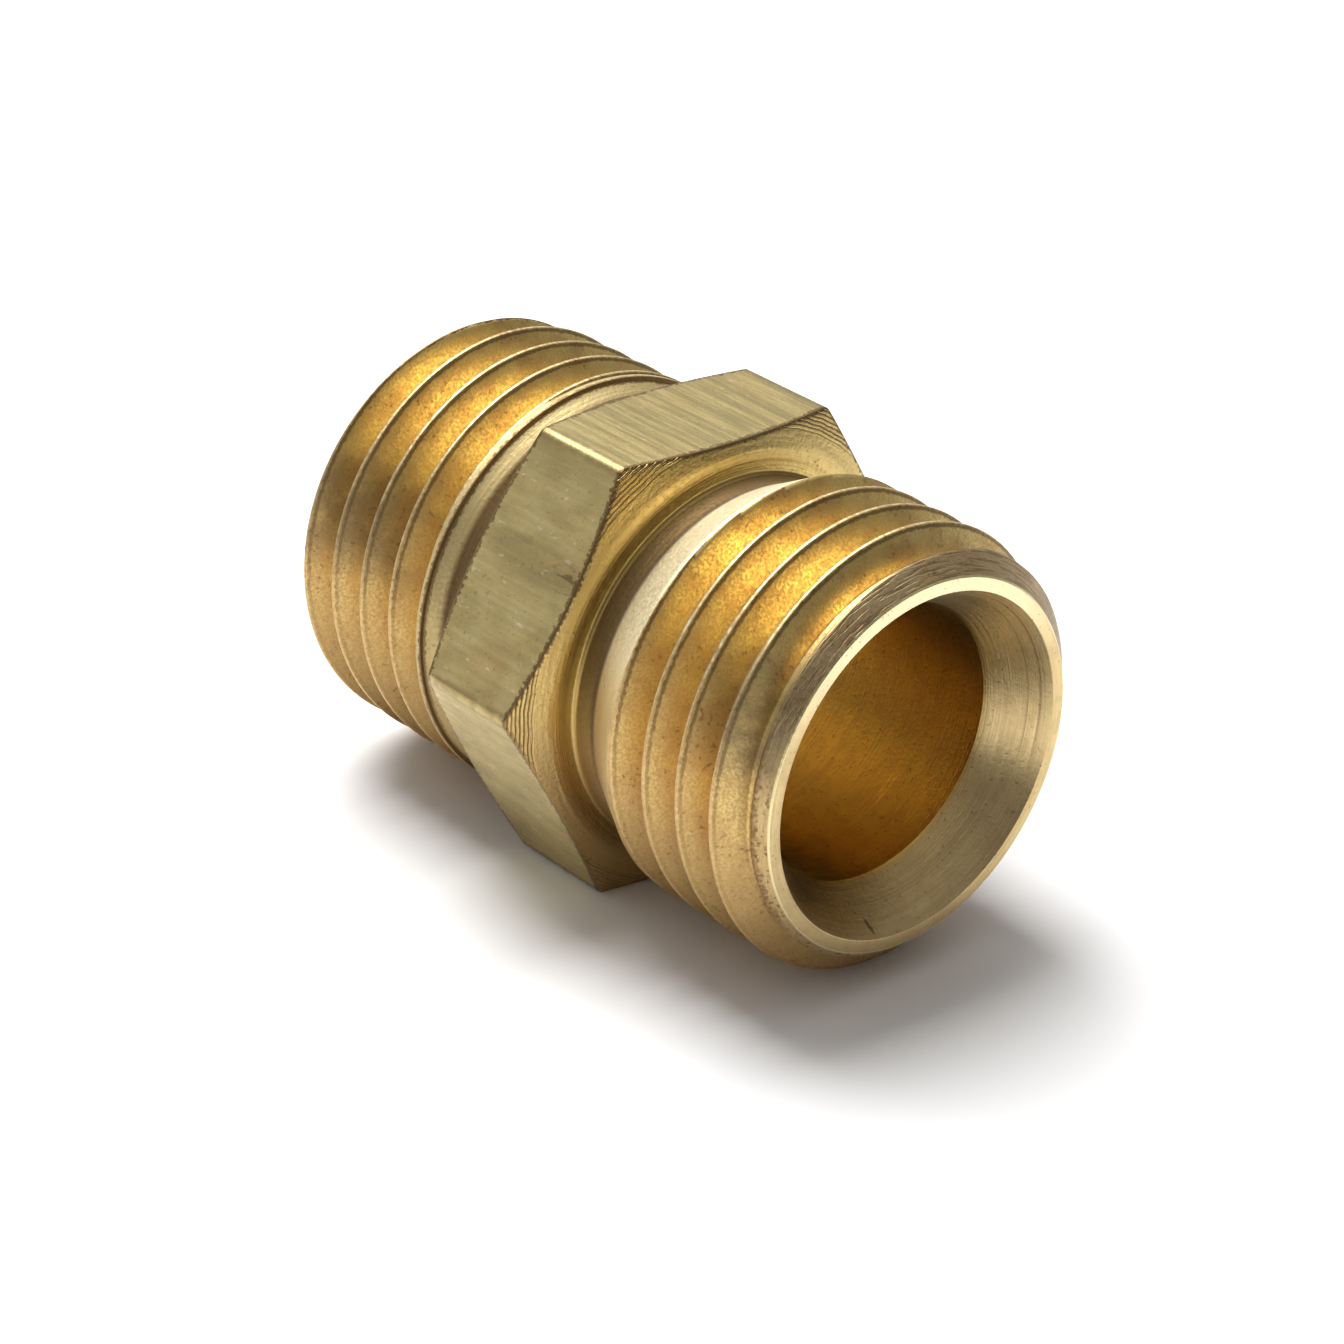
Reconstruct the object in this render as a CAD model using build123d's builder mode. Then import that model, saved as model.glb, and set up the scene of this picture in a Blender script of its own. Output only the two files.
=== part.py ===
# Hexagon union nipple: one piece of brass, turned from hexagon bar.
# A right-hand parallel thread and a 60 degree cone seat at each end, and a through bore.
# Millimetres. X is the bore axis and +Z is up, with the nipple lying on a flat of its hexagon.
# The origin is on the bore axis, halfway between the two end faces.
import math
import os
from build123d import *

os.makedirs("parts", exist_ok=True)

# ---- overall ----
LENGTH = 21.2                  # end face to end face
END_X = LENGTH / 2

# ---- thread, the same at both ends ----
PITCH = 25.4 / 18              # 18 threads to the inch
CREST_R = 6.75
DEPTH = 0.90                   # crest to root
ROOT_R = CREST_R - DEPTH
FLANK_ANGLE = math.radians(30)  # half of the 60 degree thread angle
ROOT_FLAT = 0.26               # width of the bottom of the groove
THREAD_TURNS = 8               # more than an end holds; each thread is then trimmed to its length
TURN_PARTS = 2                 # arcs that a helical turn is made of
END_CHAMFER = 0.99             # 45 degree chamfer that starts the thread
END_R = CREST_R - END_CHAMFER

# Middle of a groove where the groove passes the top of the nipple.
RIGHT_GROOVE_X = 5.345
LEFT_GROOVE_X = -4.875
# Where the threads stop beside the hexagon.
RIGHT_STOP_X = 4.87
LEFT_STOP_X = -3.95
RUNOUT_ANGLE = math.radians(60)  # slope of the last groove's end wall, from the axis

# ---- hexagon ----
ACROSS_FLATS = 13.9
CORNER_ROUND = 0.30            # soft corners of drawn bar
FACE_X = 2.30                  # turned face on each side of the hexagon
CHAMFER_ANGLE = math.radians(20)
CHAMFER_IN_R = 6.53            # the turned chamfer starts at this radius
BLANK_R = 9.0

# ---- thread reliefs beside the hexagon ----
RELIEF_R = 5.85                # bottom of the relief, level with the thread root
RELIEF_ANGLE = math.radians(28)  # slope of the relief up to the first thread
RELIEF_CORNER = 0.12           # small radius in the corner with the hexagon face
RELIEF_TOP_R = CREST_R - 0.02  # the relief stops just under the crest
LEFT_RIDGE_X = -3.75           # the last ridge of the -X thread ends here
LEFT_RIDGE_STEP = 0.12         # and stands this much above its relief

# ---- inside ----
BORE_R = 4.31
SEAT_R = 5.36                  # large end of the cone seat
SEAT_ANGLE = math.radians(30)
SEAT_DEPTH = (SEAT_R - BORE_R) / math.tan(SEAT_ANGLE)

CORE_R = 5.55                  # buried inside the threads, joins everything
CORE_X = 9.4
THREAD_IN_R = BORE_R - 0.3     # inside of the threaded tubes, before the bore is cut


def helix_arc(x, radius, part):
    """One of the arcs of a right-hand helical turn that starts at x on the top side."""
    share = part / TURN_PARTS
    centre = (x + PITCH * share, 0, 0)
    arc = Edge.make_helix(PITCH, PITCH / TURN_PARTS, radius, center=centre, normal=(1, 0, 0))
    return arc.rotate(Axis.X, 360 * share)


def thread(first_groove_x):
    """Threaded tube with a groove at first_groove_x on the top side, bounded by helical faces."""
    flank = DEPTH * math.tan(FLANK_ANGLE)
    start = ROOT_FLAT / 2
    section = [
        (start, ROOT_R),
        (start + flank, CREST_R),
        (PITCH - start - flank, CREST_R),
        (PITCH - start, ROOT_R),
    ]
    faces = []
    for part in range(TURN_PARTS):
        inner = []
        outer = []
        for turn in range(THREAD_TURNS + 1):
            turn_x = first_groove_x + turn * PITCH
            inner.append(helix_arc(turn_x + start, THREAD_IN_R, part))
            outer += [helix_arc(turn_x + x, radius, part) for x, radius in section]
        outer = outer[:len(section) * THREAD_TURNS + 1]

        strips = list(zip(outer, outer[1:])) + list(zip(inner, inner[1:]))
        strips += [(inner[0], outer[0]), (inner[-1], outer[-1])]
        faces += [Face.make_surface_from_curves(low, high) for low, high in strips]
        if part == 0:
            first = [inner[0]] + outer[:len(section) + 1] + [inner[1]]
            faces.append(Face(Wire.make_polygon([arc.position_at(0) for arc in first])))
        if part == TURN_PARTS - 1:
            last = [inner[-2]] + outer[-len(section) - 1:] + [inner[-1]]
            faces.append(Face(Wire.make_polygon([arc.position_at(1) for arc in last])))
    return Solid(Shell(faces))


def end_envelope(side, stop_x):
    """Half section that trims a thread at its stop and at its 45 degree end chamfer; side is +1 or -1."""
    over = 1.0
    return [
        (stop_x, 0),
        (stop_x, CREST_R + over),
        (side * (END_X - END_CHAMFER - over), CREST_R + over),
        (side * END_X, END_R),
        (side * END_X, 0),
    ]


def blank_outline():
    """Half section of the middle of the nipple: hexagon disc, reliefs and thread ends."""
    chamfer = math.tan(CHAMFER_ANGLE)
    relief = math.tan(RELIEF_ANGLE)
    runout = (RELIEF_TOP_R - CORE_R) / math.tan(RUNOUT_ANGLE)
    blank_x = FACE_X - (BLANK_R - CHAMFER_IN_R) * chamfer
    right_flat_x = RIGHT_STOP_X - (RELIEF_TOP_R - RELIEF_R) / relief
    left_top_r = RELIEF_TOP_R - LEFT_RIDGE_STEP
    left_flat_x = LEFT_RIDGE_X + (left_top_r - RELIEF_R - RELIEF_CORNER) / relief
    return [
        (-CORE_X, 0),
        (-CORE_X, CORE_R),
        (LEFT_STOP_X - runout, CORE_R),
        (LEFT_STOP_X, RELIEF_TOP_R),
        (LEFT_RIDGE_X, RELIEF_TOP_R),
        (LEFT_RIDGE_X, left_top_r),
        (left_flat_x, RELIEF_R + RELIEF_CORNER),
        (-FACE_X, RELIEF_R + RELIEF_CORNER),
        (-FACE_X, CHAMFER_IN_R),
        (-blank_x, BLANK_R),
        (blank_x, BLANK_R),
        (FACE_X, CHAMFER_IN_R),
        (FACE_X, RELIEF_R + RELIEF_CORNER),
        (FACE_X + RELIEF_CORNER, RELIEF_R),
        (right_flat_x, RELIEF_R),
        (RIGHT_STOP_X, RELIEF_TOP_R),
        (RIGHT_STOP_X + runout, CORE_R),
        (CORE_X, CORE_R),
        (CORE_X, 0),
    ]


def seat_outline(side):
    """Half section of the space inside one cone seat; side is +1 or -1."""
    over = 1.0
    return [
        (side * (END_X + over), 0),
        (side * (END_X + over), SEAT_R + over * math.tan(SEAT_ANGLE)),
        (side * (END_X - SEAT_DEPTH), BORE_R),
        (side * (END_X - SEAT_DEPTH), 0),
    ]


def half_section(points):
    """Face in the XZ plane from (x, radius) points, ready to turn round the bore axis."""
    with BuildSketch(Plane.XZ) as section:
        with BuildLine():
            Polyline(*points, close=True)
        make_face()
    return section.sketch


with BuildPart() as right_thread:
    add(thread(RIGHT_GROOVE_X - 3 * PITCH))
    revolve(half_section(end_envelope(1, RIGHT_STOP_X)), axis=Axis.X, mode=Mode.INTERSECT)

with BuildPart() as left_thread:
    add(thread(LEFT_GROOVE_X - 6 * PITCH))
    revolve(half_section(end_envelope(-1, LEFT_STOP_X)), axis=Axis.X, mode=Mode.INTERSECT)

with BuildPart() as union_body:
    revolve(half_section(blank_outline()), axis=Axis.X)
    with BuildSketch(Plane.YZ) as hexagon:
        RegularPolygon(ACROSS_FLATS / 2, 6, major_radius=False)
        fillet(hexagon.vertices(), CORNER_ROUND)
    extrude(amount=LENGTH, both=True, mode=Mode.INTERSECT)
    add(right_thread.part)
    add(left_thread.part)
    with BuildSketch(Plane.YZ):
        Circle(BORE_R)
    extrude(amount=LENGTH, both=True, mode=Mode.SUBTRACT)
    revolve(half_section(seat_outline(1)), axis=Axis.X, mode=Mode.SUBTRACT)
    revolve(half_section(seat_outline(-1)), axis=Axis.X, mode=Mode.SUBTRACT)

union_body.part.label = "union_body"
export_step(union_body.part, "parts/union_body.step")
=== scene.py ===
import math

import bpy
import numpy as np
from mathutils import Matrix, Vector


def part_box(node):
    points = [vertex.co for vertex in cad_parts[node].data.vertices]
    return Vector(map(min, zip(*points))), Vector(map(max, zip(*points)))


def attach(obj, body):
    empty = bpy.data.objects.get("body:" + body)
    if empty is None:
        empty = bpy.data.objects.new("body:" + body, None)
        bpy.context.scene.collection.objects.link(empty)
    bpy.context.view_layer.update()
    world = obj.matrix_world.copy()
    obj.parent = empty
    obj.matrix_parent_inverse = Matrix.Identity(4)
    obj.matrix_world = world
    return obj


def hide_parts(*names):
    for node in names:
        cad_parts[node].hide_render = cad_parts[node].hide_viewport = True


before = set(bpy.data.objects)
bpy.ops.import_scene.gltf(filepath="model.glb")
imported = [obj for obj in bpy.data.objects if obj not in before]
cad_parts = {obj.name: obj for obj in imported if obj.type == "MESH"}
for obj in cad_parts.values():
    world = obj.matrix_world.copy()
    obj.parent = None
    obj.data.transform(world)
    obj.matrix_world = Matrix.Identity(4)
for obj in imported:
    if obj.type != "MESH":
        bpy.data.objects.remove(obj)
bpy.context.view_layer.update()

# ---------------------------------------------------------------------------------------------
# Sizes in millimetres. X is the bore axis and +Z is up. Angles go from +Y towards +Z.
# ---------------------------------------------------------------------------------------------
MM = 0.001
LOW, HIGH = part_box("union_body")
END_X = HIGH[0] / MM
FLAT_R = HIGH[2] / MM                  # half of the size across the hexagon's flats

# Thread, the same at both ends.
PITCH = 25.4 / 18
CREST_R = 6.75
DEPTH = 0.90
ROOT_R = CREST_R - DEPTH
FLANK_TAN = math.tan(math.radians(30))
ROOT_FLAT = 0.26                       # width of the bottom of the groove
CORNER_SHARE = 0.035                   # share of the depth that a thread corner is worn round over
END_CHAMFER = 0.99                     # 45 degree lead chamfer
CHAMFER_X = END_X - END_CHAMFER        # where the lead chamfer leaves the crests
END_R = CREST_R - END_CHAMFER
RIGHT_GROOVE_X = 5.345                 # middle of a groove at the top of the fitting
LEFT_GROOVE_X = -4.875
RIGHT_STOP_X = 4.87                    # where the threads stop beside the hexagon
LEFT_STOP_X = -3.95
RUNOUT_TAN = math.tan(math.radians(60))
EDGE_WEAR = 0.05                       # width over which a sharp edge is worn round

# Hexagon.
CORNER_ROUND = 0.302
CORNER_R = (FLAT_R - CORNER_ROUND) / math.cos(math.pi / 6) + CORNER_ROUND
FACE_X = 2.30                          # turned face on each side of the hexagon
CHAMFER_ANGLE = math.radians(20)
CHAMFER_TAN = math.tan(CHAMFER_ANGLE)
CHAMFER_IN_R = 6.53                    # the turned chamfer starts at this radius

# Reliefs between the hexagon and the threads.
RELIEF_R = 5.85
RELIEF_TAN = math.tan(math.radians(28))
RELIEF_TOP_R = CREST_R - 0.02
RELIEF_CORNER = 0.12
SLOPE_X = RIGHT_STOP_X - (RELIEF_TOP_R - RELIEF_R) / RELIEF_TAN  # foot of the +X relief's slope
LEFT_RIDGE_X = -3.75                   # the last ridge of the -X thread ends here
LEFT_RIDGE_STEP = 0.12                 # and stands this much above its relief

# End faces and the inside.
RIM_INSET = 0.05                       # the skin's end rings are this far from the outer edge of an end
RIM_ROUND = 0.04
BORE_R = 4.31
SEAT_R = 5.36
SEAT_DEPTH = (SEAT_R - BORE_R) / math.tan(math.radians(30))
SEAT_ROUND = 0.06                      # at the foot of a cone seat

# Mesh density.
THREAD_STEPS = 26                      # samples along the section of one pitch
BEND_WEIGHT = 0.10                     # draws samples to the corners of that section
MERGE_GAP = 0.03                       # a thread sample nearer than this to an end ring joins the ring
COLUMNS = 222                          # even steps round the axis
CORNER_STEPS = (0.36, 0.72, 1.08, 1.6, 2.4)  # extra columns beside each hexagon corner, in degrees
CORNER_CLEAR = 2.8                     # even columns nearer than this to a corner are left out
ARC_STEPS = 4                          # parts of a rounded corner
LONGEST_RUN = 0.3                      # between two rings outside
LONGEST_INSIDE = 0.6                   # and inside
CHAMFER_STEPS = 5                      # rings on the hexagon's turned chamfer
FLAT_STEPS = 12                        # rings across the hexagon's flats
WORN_POINTS = ((0.10, 0.32), (0.45, 0.07))  # along x and down from a flat's edge, in shares of EDGE_WEAR


# ---------------------------------------------------------------------------------------------
# Section of the fitting: radius as a function of x and of the angle round the axis.
# ---------------------------------------------------------------------------------------------
def ramp(value):
    """Value held between 0 and 1, with both corners rounded."""
    c = CORNER_SHARE
    low = (value + c) ** 2 / (4 * c)
    high = 1 - (1 + c - value) ** 2 / (4 * c)
    out = np.where(value < c, low, value)
    out = np.where(value > 1 - c, high, out)
    return np.where(value < -c, 0.0, np.where(value > 1 + c, 1.0, out))


def thread_radius(x, angle, groove_x):
    """Right-hand thread surface with a groove at groove_x on the top side."""
    turns = (x - groove_x) / PITCH - (angle - math.pi / 2) / (2 * math.pi)
    from_groove = np.abs(turns - np.round(turns)) * PITCH
    return ROOT_R + DEPTH * ramp((from_groove - ROOT_FLAT / 2) / FLANK_TAN / DEPTH)


def worn_min(a, b, width):
    """Smaller of two radii, with the edge between them worn round."""
    h = np.clip(0.5 + 0.5 * (b - a) / width, 0, 1)
    return b * (1 - h) + a * h - width * h * (1 - h)


def right_thread_surface(x, angle):
    """The +X thread with its run-out at the relief and its lead chamfer."""
    runout = RELIEF_TOP_R - (x - RIGHT_STOP_X) * RUNOUT_TAN
    thread = np.maximum(thread_radius(x, angle, RIGHT_GROOVE_X), runout)
    return worn_min(thread, END_R + END_X - x, EDGE_WEAR)


def left_thread_surface(x, angle):
    """The -X thread with its run-out at the relief and its lead chamfer."""
    runout = RELIEF_TOP_R - (LEFT_STOP_X - x) * RUNOUT_TAN
    thread = np.maximum(thread_radius(x, angle, LEFT_GROOVE_X), runout)
    return worn_min(thread, END_R + END_X + x, EDGE_WEAR)


def hexagon_radius(angle):
    """Radius of the rounded hexagon; its corners are at 0, 60, 120 ... degrees."""
    off = (angle + math.pi / 6) % (math.pi / 3) - math.pi / 6
    centre = CORNER_R - CORNER_ROUND
    reach = np.sqrt(np.maximum(CORNER_ROUND ** 2 - (centre * np.sin(off)) ** 2, 0))
    corner = centre * np.cos(off) + reach
    tangent = math.atan2(CORNER_ROUND / 2, centre + CORNER_ROUND * math.cos(math.pi / 6))
    flat = FLAT_R / np.cos(math.pi / 6 - np.abs(off))
    return np.where(np.abs(off) < tangent, corner, flat)


def corner_arc(before, corner, after, rounding):
    """Points of the arc that rounds a corner between two straight runs."""
    a = (before - corner) / np.linalg.norm(before - corner)
    b = (after - corner) / np.linalg.norm(after - corner)
    half = math.acos(np.clip(a @ b, -1, 1)) / 2
    centre = corner + (a + b) / np.linalg.norm(a + b) * rounding / math.sin(half)
    start = corner + a * rounding / math.tan(half) - centre
    end = corner + b * rounding / math.tan(half) - centre
    sweep = math.atan2(start[0] * end[1] - start[1] * end[0], start @ end)
    arc = []
    for k in range(ARC_STEPS + 1):
        t = sweep * k / ARC_STEPS
        turned = (start[0] * math.cos(t) - start[1] * math.sin(t),
                  start[0] * math.sin(t) + start[1] * math.cos(t))
        arc.append(centre + np.array(turned))
    return arc


def rounded_profile(corners, longest=LONGEST_RUN):
    """Profile through (x, radius, rounding) corners, with arcs at the corners and runs cut short."""
    points = [np.array(corner[:2], float) for corner in corners]
    path = [points[0]]
    for i in range(1, len(points) - 1):
        rounding = corners[i][2]
        if rounding == 0:
            path.append(points[i])
        else:
            path += corner_arc(points[i - 1], points[i], points[i + 1], rounding)
    path.append(points[-1])
    out = [path[0]]
    for point in path[1:]:
        parts = max(1, math.ceil(np.linalg.norm(point - out[-1]) / longest))
        out += [out[-1] + (point - out[-1]) * (k + 1) / parts for k in range(parts)]
    return np.array(out)


# ---------------------------------------------------------------------------------------------
# Mesh of the whole fitting: one closed skin of columns round the axis. The columns' samples are
# locked to the helix in the threads, so a thread crest is one unbroken line of edges.
# ---------------------------------------------------------------------------------------------
def column_angles():
    """Angles of the columns: even steps, with closer ones at the corners of the hexagon."""
    angles = {round(360 * k / COLUMNS, 4) for k in range(COLUMNS)}
    for corner in range(0, 360, 60):
        angles -= {a for a in angles if abs((a - corner + 180) % 360 - 180) < CORNER_CLEAR}
        angles |= {float(corner)}
        for step in CORNER_STEPS:
            angles |= {round((corner + side * step) % 360, 4) for side in (1, -1)}
    return np.radians(sorted(angles))


ANGLES = column_angles()


def pitch_samples():
    """Offsets from the groove's middle, over one pitch, evenly spaced along the section's line."""
    x = np.linspace(0, PITCH, 4001)
    r = thread_radius(x, math.pi / 2, 0.0)
    slope = np.gradient(r, x)
    bend = np.abs(np.gradient(slope, x))
    travelled = np.cumsum(np.sqrt(1 + slope ** 2) + BEND_WEIGHT * bend)
    even = np.linspace(0, travelled[-1], THREAD_STEPS, endpoint=False)
    return np.interp(even, travelled, x)


class Skin:
    """Collects the fitting's vertices ring by ring, and the faces between the rings."""

    def __init__(self):
        self.points = []
        self.faces = []
        self.zones = []
        self.first = None
        self.last = None

    def add_points(self, x, r):
        """One ring of vertices, one for each column; x and r may be a number or one per column."""
        base = sum(len(ring) for ring in self.points)
        x = np.broadcast_to(x, ANGLES.shape)
        self.points.append(np.stack([x, r * np.cos(ANGLES), r * np.sin(ANGLES)], axis=1))
        return np.arange(base, base + len(ANGLES))

    def strip(self, lower, upper, zone, shift=None):
        """Faces between two rows of vertex numbers; shift gives the rows as seen past the last column."""
        far_lower = np.roll(lower, -1)
        far_upper = np.roll(upper, -1)
        if shift is not None:
            far_lower[-1], far_upper[-1] = shift
        for quad in zip(lower, upper, far_upper, far_lower):
            corners = [int(v) for i, v in enumerate(quad) if v not in quad[:i]]
            if len(corners) > 2:
                self.faces.append(corners)
                self.zones.append(zone)

    def rings(self, profile, zone):
        """Turned surface through (x, radius) points; the radius may be a number or one per column."""
        for x, r in profile:
            row = self.add_points(x, r)
            if self.last is not None:
                self.strip(self.last, row, zone)
            else:
                self.first = row
            self.last = row

    def close(self, zone):
        self.strip(self.last, self.first, zone)

    def thread(self, end_x, end_r, radius, groove_x):
        """Threaded surface from the last ring to a new ring at end_x, on helix-locked samples."""
        start_row = self.last
        start_x = self.points[-1][:, 0]
        end_row = self.add_points(end_x, end_r)
        first = math.floor((start_x.min() - groove_x) / PITCH) - 2
        last = math.ceil((end_x - groove_x) / PITCH) + 2
        offsets = pitch_samples()
        locked = np.concatenate([groove_x + n * PITCH + offsets for n in range(first, last)])
        lead = PITCH * (ANGLES - math.pi / 2) / (2 * math.pi)
        rows = []
        for at in locked:
            x = at + lead
            inside = (x > start_x + MERGE_GAP) & (x < end_x - MERGE_GAP)
            row = np.where(x <= start_x + MERGE_GAP, start_row, end_row)
            if inside.any():
                held_x = np.clip(x, start_x, end_x)
                fresh = self.add_points(held_x, radius(held_x, ANGLES))
                row = np.where(inside, fresh, row)
            rows.append(row)
        for k in range(len(rows) - 1):
            ahead = k + THREAD_STEPS       # past the last column the helix is one pitch further on
            if ahead + 1 < len(rows):
                shift = (rows[ahead][0], rows[ahead + 1][0])
            else:
                shift = (end_row[0], end_row[0])
            self.strip(rows[k], rows[k + 1], "thread", shift)
        self.last = end_row


def add_left_relief(skin):
    """Relief between the -X thread and the hexagon, with the low step where the thread stops."""
    step_r = RELIEF_TOP_R - LEFT_RIDGE_STEP
    bottom_r = RELIEF_R + RELIEF_CORNER
    profile = rounded_profile([
        (LEFT_STOP_X, RELIEF_TOP_R, 0),
        (LEFT_RIDGE_X, RELIEF_TOP_R, 0.03),
        (LEFT_RIDGE_X, step_r, 0.02),
        (LEFT_RIDGE_X + (step_r - bottom_r) / RELIEF_TAN, bottom_r, 0.3),
        (-FACE_X, bottom_r, 0.1),
        (-FACE_X, CHAMFER_IN_R, 0),
    ])
    skin.rings(profile[1:], "turned")


def chamfer_ring(wall, step, side):
    """x and radius of a ring on the hexagon's turned chamfer; side is +1 or -1."""
    outer = wall - EDGE_WEAR * math.cos(CHAMFER_ANGLE)
    r = CHAMFER_IN_R + (outer - CHAMFER_IN_R) * step / CHAMFER_STEPS
    return side * (FACE_X - (r - CHAMFER_IN_R) * CHAMFER_TAN), r


def add_hexagon(skin):
    """Hexagon with a turned chamfer on each side, and the edges between them worn round."""
    wall = hexagon_radius(ANGLES)
    edge = FACE_X - (wall - CHAMFER_IN_R) * CHAMFER_TAN
    worn = [(edge - EDGE_WEAR * inward, wall - EDGE_WEAR * down) for inward, down in WORN_POINTS]
    skin.rings([chamfer_ring(wall, step, -1) for step in range(1, CHAMFER_STEPS + 1)], "turned")
    skin.rings([(-x, r) for x, r in worn], "turned")
    for k in range(FLAT_STEPS + 1):
        skin.rings([((edge - EDGE_WEAR) * (2 * k / FLAT_STEPS - 1), wall)], "flat")
    skin.rings(reversed(worn), "flat")
    skin.rings([chamfer_ring(wall, step, 1) for step in range(CHAMFER_STEPS, -1, -1)], "turned")


def add_right_relief(skin):
    """Relief between the hexagon and the +X thread."""
    profile = rounded_profile([
        (FACE_X, CHAMFER_IN_R, 0),
        (FACE_X, RELIEF_R, 0.11),
        (SLOPE_X, RELIEF_R, 0.6),
        (RIGHT_STOP_X, RELIEF_TOP_R, 0),
    ])
    skin.rings(profile[1:], "turned")


def add_inside(skin, edge_x, edge_r):
    """+X end face, cone seat, bore, the other cone seat and the -X end face."""
    profile = rounded_profile([
        (edge_x, edge_r, 0),
        (END_X, END_R, RIM_ROUND),
        (END_X, SEAT_R, RIM_ROUND),
        (END_X - SEAT_DEPTH, BORE_R, SEAT_ROUND),
        (-END_X + SEAT_DEPTH, BORE_R, SEAT_ROUND),
        (-END_X, SEAT_R, RIM_ROUND),
        (-END_X, END_R, RIM_ROUND),
        (-edge_x, edge_r, 0),
    ], LONGEST_INSIDE)
    for x, r in profile[1:-1]:
        skin.rings([(x, r)], "inside" if r < SEAT_R + 0.03 else "turned")
    skin.close("turned")


def build_skin():
    skin = Skin()
    edge_x = END_X - RIM_INSET
    edge_r = END_R + RIM_INSET
    skin.rings([(-edge_x, edge_r)], "thread")
    skin.thread(LEFT_STOP_X, RELIEF_TOP_R, left_thread_surface, LEFT_GROOVE_X)
    add_left_relief(skin)
    add_hexagon(skin)
    add_right_relief(skin)
    skin.thread(edge_x, edge_r, right_thread_surface, RIGHT_GROOVE_X)
    add_inside(skin, edge_x, edge_r)
    return skin


ZONES = ("thread", "turned", "flat", "inside")


def build_mesh(name):
    """The skin as a mesh, without the vertices that no face uses."""
    skin = build_skin()
    points = np.concatenate(skin.points)
    used = np.zeros(len(points), bool)
    for face in skin.faces:
        used[face] = True
    number = np.cumsum(used) - 1
    faces = [[int(number[v]) for v in face] for face in skin.faces]
    mesh = bpy.data.meshes.new(name)
    mesh.from_pydata((points[used] * MM).tolist(), [], faces)
    mesh.polygons.foreach_set("material_index", [ZONES.index(z) for z in skin.zones])
    mesh.polygons.foreach_set("use_smooth", [True] * len(mesh.polygons))
    mesh.update()
    return mesh


# ---------------------------------------------------------------------------------------------
# Shader nodes
# ---------------------------------------------------------------------------------------------
class Nodes:
    """Adds shader nodes to a tree; an input is a number, a tuple or another node's output."""

    def __init__(self, tree):
        self.tree = tree

    def plug(self, socket, value):
        if isinstance(value, bpy.types.NodeSocket):
            self.tree.links.new(value, socket)
        else:
            socket.default_value = value

    def coordinates(self, kind):
        """x, y and z of a texture coordinate."""
        coord = self.tree.nodes.new("ShaderNodeTexCoord")
        split = self.tree.nodes.new("ShaderNodeSeparateXYZ")
        self.tree.links.new(coord.outputs[kind], split.inputs[0])
        return split.outputs

    def calc(self, operation, a, b=0.0):
        node = self.tree.nodes.new("ShaderNodeMath")
        node.operation = operation
        self.plug(node.inputs[0], a)
        self.plug(node.inputs[1], b)
        return node.outputs[0]

    def times(self, first, *others):
        for other in others:
            first = self.calc("MULTIPLY", first, other)
        return first

    def plus(self, a, b):
        return self.calc("ADD", a, b)

    def minus(self, a, b):
        return self.calc("SUBTRACT", a, b)

    def off(self, value, middle):
        """How far a value is from a middle, either way."""
        return self.calc("ABSOLUTE", self.minus(value, middle))

    def ragged(self, value, noise, amount):
        """A value made uneven by a noise, by up to half of the amount either way."""
        return self.plus(value, self.times(self.minus(noise, 0.5), amount))

    def between(self, value, low, high, at_low=0.0, at_high=1.0, kind="SMOOTHSTEP"):
        """Step of a value from low to high, as numbers from at_low to at_high; low may be the larger."""
        node = self.tree.nodes.new("ShaderNodeMapRange")
        node.interpolation_type = kind
        for socket, item in zip(node.inputs, (value, low, high, at_low, at_high)):
            self.plug(socket, item)
        return node.outputs[0]

    def band(self, value, low, low_full, high_full, high):
        """1 from low_full to high_full, fading to 0 at low and at high."""
        return self.times(self.between(value, low, low_full), self.between(value, high, high_full))

    def mix(self, share, a, b):
        node = self.tree.nodes.new("ShaderNodeMix")
        node.data_type = "RGBA"
        self.plug(node.inputs["Factor"], share)
        for socket, colour in zip((node.inputs[6], node.inputs[7]), (a, b)):
            self.plug(socket, (*colour, 1) if isinstance(colour, tuple) else colour)
        return node.outputs[2]

    def noise(self, x, y, z, detail):
        vector = self.tree.nodes.new("ShaderNodeCombineXYZ")
        for socket, item in zip(vector.inputs, (x, y, z)):
            self.plug(socket, item)
        node = self.tree.nodes.new("ShaderNodeTexNoise")
        self.tree.links.new(vector.outputs[0], node.inputs["Vector"])
        node.inputs["Scale"].default_value = 1.0
        node.inputs["Detail"].default_value = detail
        return node.outputs[0]


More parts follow.
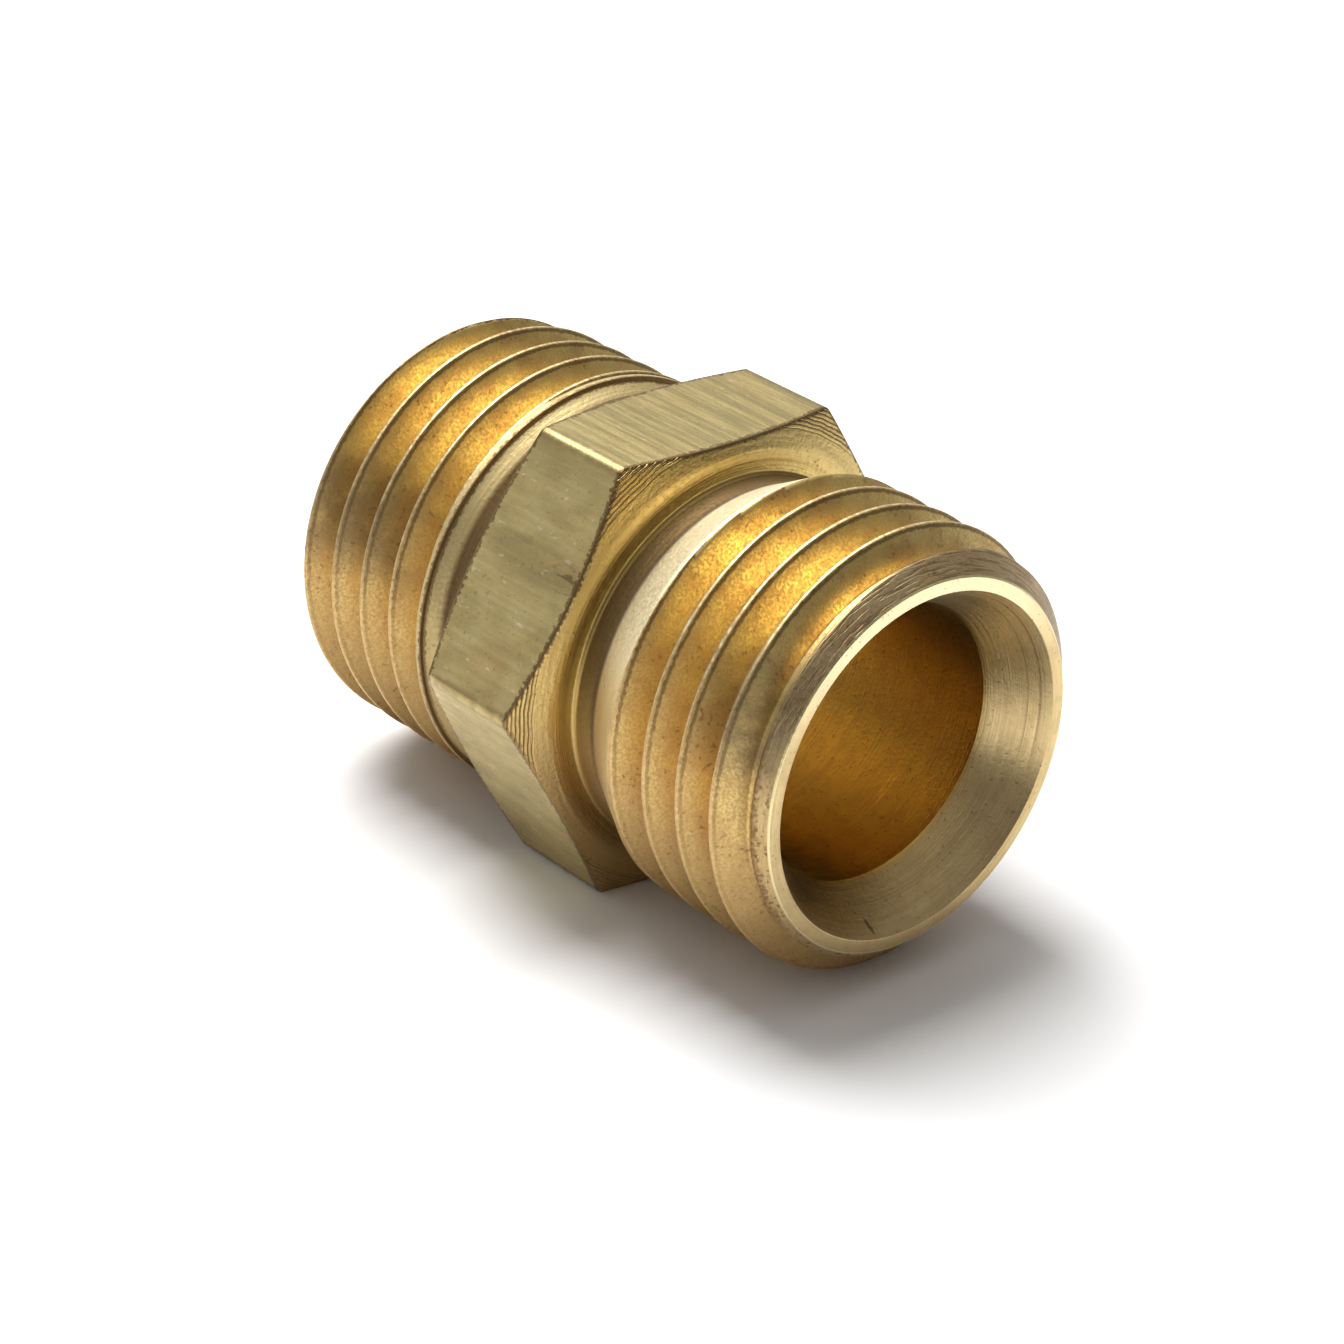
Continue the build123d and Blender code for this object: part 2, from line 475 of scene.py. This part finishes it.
class Brass(Nodes):
    """Nodes of one of the fitting's materials. The patterns come from the place on the fitting, in
    millimetres: x, y, z, the radius r, and the cosine and sine of the angle round the axis."""

    ROUND_THE_ENDS = 0.62              # share of the radius in the place along the fitting's outline

    def __init__(self, material):
        material.use_nodes = True
        super().__init__(material.node_tree)
        self.shader = self.tree.nodes["Principled BSDF"]
        self.x, self.y, self.z = (self.times(out, 1 / MM) for out in self.coordinates("Object"))
        squares = self.plus(self.calc("POWER", self.y, 2.0), self.calc("POWER", self.z, 2.0))
        self.r = self.calc("SQRT", squares)
        self.cos = self.calc("DIVIDE", self.y, self.r)
        self.sin = self.calc("DIVIDE", self.z, self.r)
        self.along = self.plus(self.x, self.times(self.r, self.ROUND_THE_ENDS))
        self.across = self.calc("ABSOLUTE", self.x)

    def flats(self):
        """Distance from the bore axis to the nearest side of a hexagon through the place."""
        half_z = self.times(self.z, 0.5)
        slant = self.times(self.calc("ABSOLUTE", self.y), math.cos(math.pi / 6))
        upper = self.calc("MAXIMUM", self.calc("ABSOLUTE", self.z), self.plus(slant, half_z))
        return self.calc("MAXIMUM", upper, self.minus(slant, half_z))

    def thread_phase(self):
        """Place along the section of the thread: 0 and 1 in the grooves, 0.5 on the crests."""
        angle = self.calc("ARCTAN2", self.z, self.y)
        right = self.calc("GREATER_THAN", self.x, 0.0)
        groove = self.plus(self.times(right, RIGHT_GROOVE_X - LEFT_GROOVE_X), LEFT_GROOVE_X)
        turns = self.calc("DIVIDE", self.minus(self.x, groove), PITCH)
        turned = self.calc("DIVIDE", self.minus(angle, math.pi / 2), 2 * math.pi)
        return self.calc("FRACT", self.minus(turns, turned))

    def rings(self, per_mm, round_about, detail=2.0):
        """Noise drawn out round the bore axis, as a turning tool leaves it."""
        return self.noise(self.times(self.along, per_mm), self.times(self.cos, round_about),
                          self.times(self.sin, round_about), detail)

    def grain(self, per_mm, detail=2.0, stretch=1.0):
        """Noise in space; stretch below 1 draws it out along the bar."""
        return self.noise(self.times(self.x, per_mm * stretch), self.times(self.y, per_mm),
                          self.times(self.z, per_mm), detail)

    def near(self, spot, sizes):
        """1 at a spot, fading to 0 at the given sizes from it along x, y and z."""
        total = 0.0
        for value, middle, size in zip((self.x, self.y, self.z), spot, sizes):
            away = self.calc("DIVIDE", self.minus(value, middle), size)
            total = self.plus(self.times(away, away), total)
        return self.between(total, 1.0, 0.3)

    def bump(self, height, depth):
        """Bump with a depth in millimetres."""
        node = self.tree.nodes.new("ShaderNodeBump")
        node.inputs["Distance"].default_value = depth * MM
        self.plug(node.inputs["Height"], height)
        self.tree.links.new(node.outputs[0], self.shader.inputs["Normal"])

    def finish(self, colour, roughness):
        self.shader.inputs["Metallic"].default_value = 1.0
        self.plug(self.shader.inputs["Base Color"], colour)
        self.plug(self.shader.inputs["Roughness"], roughness)


# ---------------------------------------------------------------------------------------------
# Materials. In n.between(n.sin, ...), 1 is the top of the fitting and -1 its underside; in n.cos,
# -1 is the -Y side.
# ---------------------------------------------------------------------------------------------
GOLD = (0.86, 0.68, 0.26)
PALE = (0.88, 0.76, 0.50)
COPPERY = (0.66, 0.42, 0.17)
TAN = (0.53, 0.34, 0.14)
BROWN = (0.16, 0.09, 0.04)
UNDERSIDE_SHADE = (0.34, 0.22, 0.09)

LEAD_LOW = (0.62, 0.45, 0.21)          # the lead chamfers, low and high on the fitting; the darker high one is painted shade
LEAD_HIGH_SHADE = (0.55, 0.41, 0.22)
CHATTER = (0.26, 0.17, 0.09)
PITTED = (0.24, 0.14, 0.06)
DARK_BAND = (0.24, 0.18, 0.10)


def thread_metal_and_shade(n, blotch, grit):
    """Brass of the flanks and the grooves with random tan and coppery tones; painted shade keeps it gold
    on top and makes it coppery, then duller, lower down.
    """
    colour = n.mix(n.between(grit, 0.32, 0.66, 0.0, 0.60), GOLD, TAN)
    colour = n.mix(n.between(blotch, 0.46, 0.64, 0.0, 0.55), colour, TAN)
    colour = n.mix(n.between(n.grain(2.3, 3.0), 0.48, 0.66, 0.0, 0.45), colour, COPPERY)
    # painted shade: coppery below the top and tan on the underside
    colour = n.mix(n.between(n.sin, 0.70, 0.25, 0.0, 0.45), colour, COPPERY)
    return n.mix(n.between(n.sin, 0.1, -0.4, 0.0, 0.60), colour, TAN)


def crest_wear_and_painted_light(n, colour, phase, fine):
    """Pale worn crests, paler on the upper half as a painted highlight, each with a ragged dark line of
    painted shade on its +X side, most of it on the upper half.
    """
    crest = n.between(n.off(phase, 0.5), 0.040, 0.022)
    # painted highlight: the worn crests are paler on the upper half
    painted_crest_highlight = n.times(n.between(fine, 0.36, 0.60, 0.85, 0.15), n.between(n.sin, 0.2, 0.75, 0.35, 1.0))
    colour = n.mix(crest, colour, n.mix(painted_crest_highlight, TAN, PALE))
    # painted reflection of the dark surroundings in each crest's rounding, as a dark line on its +X side
    beside = n.band(n.ragged(phase, fine, 0.05), 0.545, 0.560, 0.580, 0.600)
    return n.mix(n.times(beside, n.between(n.sin, -0.35, 0.45, 0.20, 0.70)), colour, BROWN)


def lead_chamfer(n, colour, blotch, fine):
    """Dull lead chamfers, darker high up as painted shade, with chatter and pits on them, and a burr where
    they meet the thread.
    Also returns where the chatter is."""
    past = n.minus(n.plus(n.across, n.r), END_X + END_R)  # 0 on the chamfer, less than 0 under it
    lead = n.times(n.between(past, -0.06, -0.01), n.between(n.across, CHAMFER_X - 0.10, CHAMFER_X + 0.02))
    chatter = n.between(n.rings(42.0, 6.0), 0.46, 0.58)
    # painted shade: the upper part of the chamfers darker
    dull_and_shaded = n.mix(n.between(n.sin, 0.1, 0.6), LEAD_LOW, LEAD_HIGH_SHADE)
    dull_and_shaded = n.mix(n.between(blotch, 0.40, 0.62, 0.0, 0.35), dull_and_shaded, TAN)
    dull_and_shaded = n.mix(n.times(chatter, n.between(n.sin, 0.0, 0.8, 0.15, 0.60)), dull_and_shaded, CHATTER)
    colour = n.mix(lead, colour, dull_and_shaded)
    pits = n.times(n.between(fine, 0.54, 0.62), n.between(n.sin, 0.4, 0.1, 0.0, 0.6), lead)
    colour = n.mix(pits, colour, BROWN)
    burr = n.between(n.ragged(past, n.grain(4.0, 3.0), 0.3), -0.10, -0.06)
    burr = n.times(burr, n.between(past, -0.012, -0.03), n.between(n.sin, 0.75, 0.90, 0.2, 0.9))
    return n.mix(burr, colour, BROWN), n.times(chatter, lead)


def thread_dirt_and_shade(n, colour, phase, blotch, fine):
    """Painted shade on the underside, pits, a darker band and specks."""
    # painted shade: darker towards the underside
    colour = n.mix(n.between(n.sin, 0.1, -0.5, 0.0, 0.15), colour, UNDERSIDE_SHADE)
    # pitted band where the last groove of the +X thread runs out into the chamfer, on the -Y side
    seam = n.ragged(phase, n.grain(5.0, 3.0), 0.22)
    seam = n.plus(n.between(seam, 0.30, 0.24), n.between(seam, 0.80, 0.88))
    seam = n.times(seam, n.between(n.x, END_X - 0.76, END_X - 0.68), n.between(fine, 0.40, 0.56, 0.6, 1.0))
    colour = n.mix(n.times(seam, n.between(n.cos, -0.70, -0.92, 0.0, 0.85)), colour, PITTED)
    # darker blotchy band on the last turns of the +X thread and all over the -X thread, above the middle
    right = n.times(n.between(n.off(n.sin, 0.42), 0.34, 0.10), n.between(n.x, 7.2, 9.2))
    left = n.times(n.between(n.off(n.sin, 0.36), 0.38, 0.10), n.between(n.x, -4.0, -7.0))
    dark_band = n.times(n.calc("MAXIMUM", right, left), n.between(blotch, 0.35, 0.55, 0.25, 0.60))
    colour = n.mix(dark_band, colour, DARK_BAND)
    specks = n.times(n.between(fine, 0.58, 0.68), n.between(blotch, 0.40, 0.62), 0.50)
    return n.mix(specks, colour, BROWN)


def thread_material(material):
    n = Brass(material)
    phase = n.thread_phase()
    blotch = n.grain(0.9, 3.0)
    fine = n.grain(7.0, 3.0)
    grit = n.grain(12.0)
    colour = crest_wear_and_painted_light(n, thread_metal_and_shade(n, blotch, grit), phase, fine)
    colour, chatter = lead_chamfer(n, colour, blotch, fine)
    colour = thread_dirt_and_shade(n, colour, phase, blotch, fine)
    marks = n.plus(n.times(n.rings(11.0, 2.2), 0.5), n.times(fine, 0.5))
    n.bump(n.minus(marks, n.times(chatter, 0.5)), 0.014)
    n.finish(colour, n.between(grit, 0.3, 0.7, 0.38, 0.56))


OLIVE = (0.50, 0.40, 0.21)             # the turned surfaces on the -X side
SLOPE_PALE = (0.93, 0.83, 0.58)        # the slope of a relief, lit from above as painted light
SLOPE_DULL = (0.66, 0.54, 0.33)
SLOPE_SHADE = (0.45, 0.31, 0.16)
RELIEF_SHADE = (0.15, 0.09, 0.04)
CORNER_SHADE = (0.26, 0.16, 0.07)
SHADE_SPOT_BROWN = (0.30, 0.20, 0.10)
RIM_PALE = (0.90, 0.77, 0.47)
RELIEF_SHADE_SPOT = (-3.2, -5.75, 2.6)      # a painted shadow on the -X relief
SHADE_SPOT_SIZES = (0.75, 1.9, 3.0)
TOOL_MARKS_PER_MM = 8.5


def face_marks(n, colour, fine):
    """Coarse tool marks on the corners of the hexagon's faces, and a ragged dark burr at their edge.
    Also returns where the tool marks are."""
    face = n.times(n.between(n.across, FACE_X + 0.02, FACE_X), n.between(n.r, 6.0, 6.2))
    colour = n.mix(n.times(face, 0.40), colour, TAN)
    tool = n.plus(n.times(n.r, TOOL_MARKS_PER_MM), n.times(n.grain(1.6), 0.9))
    tool = n.times(n.band(n.calc("FRACT", tool), 0.05, 0.25, 0.45, 0.65), n.between(n.r, 7.05, 7.30))
    colour = n.mix(n.times(tool, 0.8), colour, BROWN)
    burr = n.between(n.plus(n.flats(), n.times(fine, 0.30)), FLAT_R + 0.04, FLAT_R + 0.10)
    return n.mix(n.times(burr, 0.80), colour, BROWN), tool


def relief_light_and_shade(n, colour, fine, grit):
    """Slopes of the reliefs, pale on top as painted light and darker lower down as painted shade, with
    painted shade at their bottoms and corners and a painted shadow on the -X relief. Also returns how
    rough they are."""
    slope = n.band(n.across, SLOPE_X - 0.235, SLOPE_X - 0.055, RIGHT_STOP_X + 0.13, RIGHT_STOP_X + 0.33)
    # painted light: the slopes pale on the upper side
    upper = n.times(n.between(n.sin, -0.1, 0.6, 0.10, 0.95), n.between(n.x, -1.0, 1.0, 0.05, 1.0))
    pale = n.mix(n.between(grit, 0.35, 0.65, 0.0, 0.4), SLOPE_PALE, SLOPE_DULL)
    colour = n.mix(n.times(slope, upper), colour, pale)
    # painted shade: the slopes darker on the lower side
    lower = n.times(n.between(n.sin, 0.45, 0.05, 0.0, 0.60), n.between(n.x, 0.0, 1.0))
    colour = n.mix(n.times(slope, lower), colour, SLOPE_SHADE)
    # painted shade at the bottom of each relief, beside the hexagon's face
    bottom_shade = n.band(n.across, FACE_X + 0.06, FACE_X + 0.20, SLOPE_X - 0.055, SLOPE_X + 0.165)
    bottom_shade = n.times(bottom_shade, n.between(n.sin, -0.3, 0.3, 0.65, 0.92))
    colour = n.mix(bottom_shade, colour, RELIEF_SHADE)
    # painted shadow on the -X relief, behind the hexagon
    shade_spot = n.times(n.near(RELIEF_SHADE_SPOT, SHADE_SPOT_SIZES), n.between(fine, 0.30, 0.60, 0.10, 0.30))
    colour = n.mix(shade_spot, colour, SHADE_SPOT_BROWN)
    # painted shade in the corner at the foot of each hexagon face, over its fillet's highlight, mostly on
    # top
    corner = n.band(n.across, FACE_X + 0.015, FACE_X + 0.03, FACE_X + 0.07, FACE_X + 0.10)
    corner = n.times(corner, n.between(n.sin, -0.2, 0.4, 0.50, 0.85))
    return n.mix(corner, colour, CORNER_SHADE), n.plus(slope, bottom_shade)


def turned_material(material):
    n = Brass(material)
    marks = n.rings(24.0, 2.0)
    fine = n.grain(8.0, 3.0)
    grit = n.grain(13.0)
    blotch = n.grain(0.8)
    colour = n.mix(n.between(marks, 0.35, 0.70, 0.0, 0.30), GOLD, TAN)
    colour, tool = face_marks(n, colour, fine)
    # painted shade: darker towards the bottom
    colour = n.mix(n.between(n.sin, 0.2, -0.4, 0.0, 0.65), colour, TAN)
    colour = n.mix(n.between(n.x, 0.0, -3.0, 0.0, 0.75), colour, OLIVE)
    colour, rough = relief_light_and_shade(n, colour, fine, grit)
    # ragged dark line where the -X thread stops: its burr, and painted shadow below the ridge's step
    ridge_burr_and_shadow = n.band(n.ragged(n.x, fine, 0.25), LEFT_RIDGE_X - 0.10, LEFT_RIDGE_X - 0.05,
                   LEFT_RIDGE_X + 0.04, LEFT_RIDGE_X + 0.10)
    colour = n.mix(n.times(ridge_burr_and_shadow, 0.75), colour, BROWN)
    specks = n.times(n.between(fine, 0.62, 0.72), n.between(blotch, 0.45, 0.6), 0.6)
    colour = n.mix(specks, colour, BROWN)
    # painted shade: darker still on the underside
    colour = n.mix(n.between(n.sin, 0.1, -0.5, 0.0, 0.35), colour, UNDERSIDE_SHADE)
    rim = n.between(n.across, END_X - 0.06, END_X - 0.01)
    colour = n.mix(n.times(rim, 0.85), colour, RIM_PALE)
    n.bump(n.plus(n.times(tool, -1.5), n.plus(marks, fine)), 0.012)
    n.finish(colour, n.plus(n.between(fine, 0.3, 0.7, 0.30, 0.44), n.times(rough, 0.22)))


KHAKI = (0.57, 0.455, 0.195)
KHAKI_LIGHT = (0.68, 0.55, 0.27)
KHAKI_DARK = (0.42, 0.33, 0.14)
KHAKI_DARKER = (0.40, 0.30, 0.13)
KHAKI_CORNER_SHADE = (0.36, 0.27, 0.12)
SMUDGE = (0.3, -5.75, 3.95)            # a dull smudge on the upper flat of the -Y side
SMUDGE_SIZES = (2.6, 0.60, 0.85)
SCRATCHES = (1.6, -5.75, 3.85)         # scratches at the end of it
SCRATCHES_SIZES = (0.9, 0.4, 0.5)


def flat_material(material):
    n = Brass(material)
    drawn = n.grain(6.0, 3.0, 0.04)
    broad = n.grain(1.8, 4.0, 0.5)
    fine = n.grain(9.0, 3.0)
    colour = n.mix(n.between(drawn, 0.30, 0.72, 0.0, 0.25), KHAKI, KHAKI_DARK)
    colour = n.mix(n.between(broad, 0.42, 0.66, 0.0, 0.40), colour, KHAKI_LIGHT)
    colour = n.mix(n.between(broad, 0.52, 0.34, 0.0, 0.35), colour, KHAKI_DARKER)
    colour = n.mix(n.between(n.grain(0.45), 0.55, 0.75, 0.0, 0.30), colour, TAN)
    colour = n.mix(n.between(fine, 0.60, 0.72, 0.0, 0.4), colour, BROWN)
    colour = n.mix(n.between(n.grain(5.0, 3.0, 0.4), 0.36, 0.26, 0.0, 0.6), colour, PALE)
    # painted shade: the top flat darker
    colour = n.mix(n.between(n.z, 5.0, 6.8, 0.0, 0.50), colour, KHAKI_DARK)
    # painted shade: grainy darkening of the hexagon's rounded corners, dimming their highlight
    worn = n.between(n.r, CORNER_R - 0.138, CORNER_R - 0.048)
    colour = n.mix(n.times(worn, n.between(n.grain(2.6, 3.0), 0.40, 0.60, 0.3, 0.9)), colour, KHAKI_CORNER_SHADE)
    smear = n.times(n.near(SMUDGE, SMUDGE_SIZES), n.between(broad, 0.36, 0.60, 0.10, 0.40))
    colour = n.mix(smear, colour, BROWN)
    lines = n.between(n.grain(7.0, 3.0, 0.3), 0.50, 0.58)
    colour = n.mix(n.times(n.near(SCRATCHES, SCRATCHES_SIZES), lines, 0.7), colour, BROWN)
    # ragged pits along the turned edges
    reach = n.minus(n.minus(FACE_X, n.across), n.times(n.minus(n.r, CHAMFER_IN_R), CHAMFER_TAN))
    edge = n.between(n.plus(reach, n.times(fine, -0.42)), -0.06, -0.13)
    colour = n.mix(n.times(edge, 0.8), colour, BROWN)
    n.bump(n.plus(n.times(drawn, 0.6), n.times(fine, 0.7)), 0.011)
    n.finish(colour, n.between(drawn, 0.3, 0.7, 0.32, 0.44))


CONE = (0.76, 0.58, 0.29)
CONE_MARKS = (0.48, 0.34, 0.16)
CONE_MOTTLE = (0.54, 0.39, 0.19)
CONE_BANDS = (0.50, 0.36, 0.17)
CONE_TOP_LIGHT = (0.98, 0.84, 0.52)
CONE_BOTTOM_SHADE = (0.40, 0.28, 0.13)
RING_BROWN = (0.30, 0.20, 0.09)
BORE = (0.74, 0.52, 0.15)
BORE_MARKS = (0.52, 0.34, 0.10)
BORE_MOTTLE = (0.46, 0.31, 0.12)
BORE_SIDE_SHADE = (0.34, 0.25, 0.13)
SEAT_RINGS = ((5.17, 0.6), (4.98, 0.4))  # radius and strength of fine rings in the cone seats
SEAT_NICK = (10.2, -1.1, -5.05)
NICK_SIZES = (0.34, 0.09, 0.4)


def cone_colour(n, marks, mottle):
    """Cone seats: painted light at the top and painted shade at the bottom, with two fine rings on the +Y
    side.
    """
    cone = n.mix(n.between(marks, 0.35, 0.68, 0.0, 0.35), CONE, CONE_MARKS)
    cone = n.mix(n.between(mottle, 0.42, 0.64, 0.0, 0.45), cone, CONE_MOTTLE)
    cone = n.mix(n.between(n.rings(3.5, 0.7), 0.46, 0.58, 0.0, 0.30), cone, CONE_BANDS)
    # painted light: the seats brighter at the top
    cone = n.mix(n.between(n.sin, 0.3, 0.9, 0.0, 0.9), cone, CONE_TOP_LIGHT)
    for ring_r, strength in SEAT_RINGS:
        ring = n.times(n.between(n.off(n.r, ring_r), 0.024, 0.008),
                       n.between(n.cos, 0.3, 0.7, 0.0, strength), n.between(n.sin, -0.4, 0.0))
        cone = n.mix(ring, cone, RING_BROWN)
    # painted shade: the seats darker at the bottom
    return n.mix(n.between(n.sin, -0.2, -0.8, 0.0, 0.45), cone, CONE_BOTTOM_SHADE)


def inside_material(material):
    n = Brass(material)
    marks = n.rings(14.0, 1.0, 3.0)
    fine = n.grain(8.0, 3.0)
    mottle = n.grain(1.6, 3.0)
    bore = n.mix(n.between(marks, 0.35, 0.68, 0.0, 0.35), BORE, BORE_MARKS)
    bore = n.mix(n.between(mottle, 0.42, 0.64, 0.0, 0.35), bore, BORE_MOTTLE)
    # painted shade: the bore darker on the +Y side
    bore = n.mix(n.between(n.cos, -0.1, 0.7, 0.0, 0.45), bore, BORE_SIDE_SHADE)
    colour = n.mix(n.between(n.r, BORE_R + 0.10, BORE_R + 0.02), cone_colour(n, marks, mottle), bore)
    colour = n.mix(n.between(fine, 0.62, 0.72, 0.0, 0.5), colour, BROWN)
    colour = n.mix(n.times(n.near(SEAT_NICK, NICK_SIZES), 0.8), colour, BROWN)
    n.bump(n.plus(n.times(marks, 0.6), n.times(fine, 0.6)), 0.012)
    n.finish(colour, n.between(marks, 0.3, 0.7, 0.28, 0.38))


MATERIALS = (thread_material, turned_material, flat_material, inside_material)  # in the order of ZONES

fitting = bpy.data.objects.new("union_fitting", build_mesh("union_fitting"))
bpy.context.scene.collection.objects.link(fitting)
for zone, make in zip(ZONES, MATERIALS):
    brass = bpy.data.materials.new(zone + "_brass")
    make(brass)
    fitting.data.materials.append(brass)
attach(fitting, "root")
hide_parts("union_body")


# ---------------------------------------------------------------------------------------------
# Stage, light and camera
# ---------------------------------------------------------------------------------------------
FLOOR_HALF = 1.5                       # metres
FLOOR_WHITE = 0.9
FLOOR_ROUGHNESS = 0.8
CAMERA_AIM = (2.078, -1.885, 0.0)      # millimetres
CAMERA_DISTANCE = 111.39
CAMERA_AZIMUTH = 47.35                 # degrees
CAMERA_ELEVATION = 27.08
CAMERA_ROLL = 3.46
CAMERA_LENS = 101.56                   # on a sensor 36 mm wide


def add_floor():
    half, z = FLOOR_HALF, LOW[2]
    corners = [(-half, -half, z), (half, -half, z), (half, half, z), (-half, half, z)]
    mesh = bpy.data.meshes.new("floor")
    mesh.from_pydata(corners, [], [(0, 1, 2, 3)])
    floor = bpy.data.objects.new("floor", mesh)
    bpy.context.scene.collection.objects.link(floor)
    white = bpy.data.materials.new("floor_white")
    white.use_nodes = True
    shader = white.node_tree.nodes["Principled BSDF"]
    shader.inputs["Base Color"].default_value = (FLOOR_WHITE, FLOOR_WHITE, FLOOR_WHITE, 1)
    shader.inputs["Roughness"].default_value = FLOOR_ROUGHNESS
    mesh.materials.append(white)


def direction(azimuth, elevation):
    """Unit vector towards a place at an azimuth and elevation; azimuth 0 is towards -Y, 90 towards +X."""
    a, e = math.radians(azimuth), math.radians(elevation)
    return Vector((math.sin(a) * math.cos(e), -math.cos(a) * math.cos(e), math.sin(e)))


def add_square_light(name, azimuth, elevation, distance, size, power):
    """Square light that faces the origin."""
    light = bpy.data.lights.new(name, "AREA")
    light.size = size
    light.energy = power
    lamp = bpy.data.objects.new(name, light)
    bpy.context.scene.collection.objects.link(lamp)
    way = direction(azimuth, elevation)
    lamp.location = way * distance
    lamp.rotation_euler = way.to_track_quat("Z", "Y").to_euler()


def add_world():
    """Pale room that is brightest overhead and dim on the +X side."""
    world = bpy.data.worlds.new("studio")
    bpy.context.scene.world = world
    world.use_nodes = True
    n = Nodes(world.node_tree)
    background = n.tree.nodes["Background"]
    way = n.coordinates("Generated")
    overhead = n.between(way["Z"], 0.30, 0.95, 0.45, 0.75)
    beside = n.between(way["X"], -1.0, 1.0, 1.3, 0.12, "LINEAR")
    background.inputs["Color"].default_value = (1, 1, 1, 1)
    n.plug(background.inputs["Strength"], n.times(overhead, beside))


def add_camera():
    back = direction(CAMERA_AZIMUTH, CAMERA_ELEVATION)
    roll = math.radians(CAMERA_ROLL)
    right = Vector((0, 0, 1)).cross(back).normalized()
    up = back.cross(right)
    rolled_right = right * math.cos(roll) + up * math.sin(roll)
    rolled_up = up * math.cos(roll) - right * math.sin(roll)
    lens = bpy.data.cameras.new("camera")
    lens.lens = CAMERA_LENS
    lens.sensor_width = 36
    lens.clip_start, lens.clip_end = 0.005, 20
    camera = bpy.data.objects.new("camera", lens)
    bpy.context.scene.collection.objects.link(camera)
    place = (Vector(CAMERA_AIM) + back * CAMERA_DISTANCE) * MM
    basis = Matrix((rolled_right, rolled_up, back)).transposed().to_4x4()
    camera.matrix_world = Matrix.Translation(place) @ basis
    bpy.context.scene.camera = camera


add_floor()
add_world()
add_square_light("key", azimuth=267, elevation=65, distance=0.6, size=0.38, power=5.1)
add_camera()
bpy.context.scene.view_settings.view_transform = "Standard"
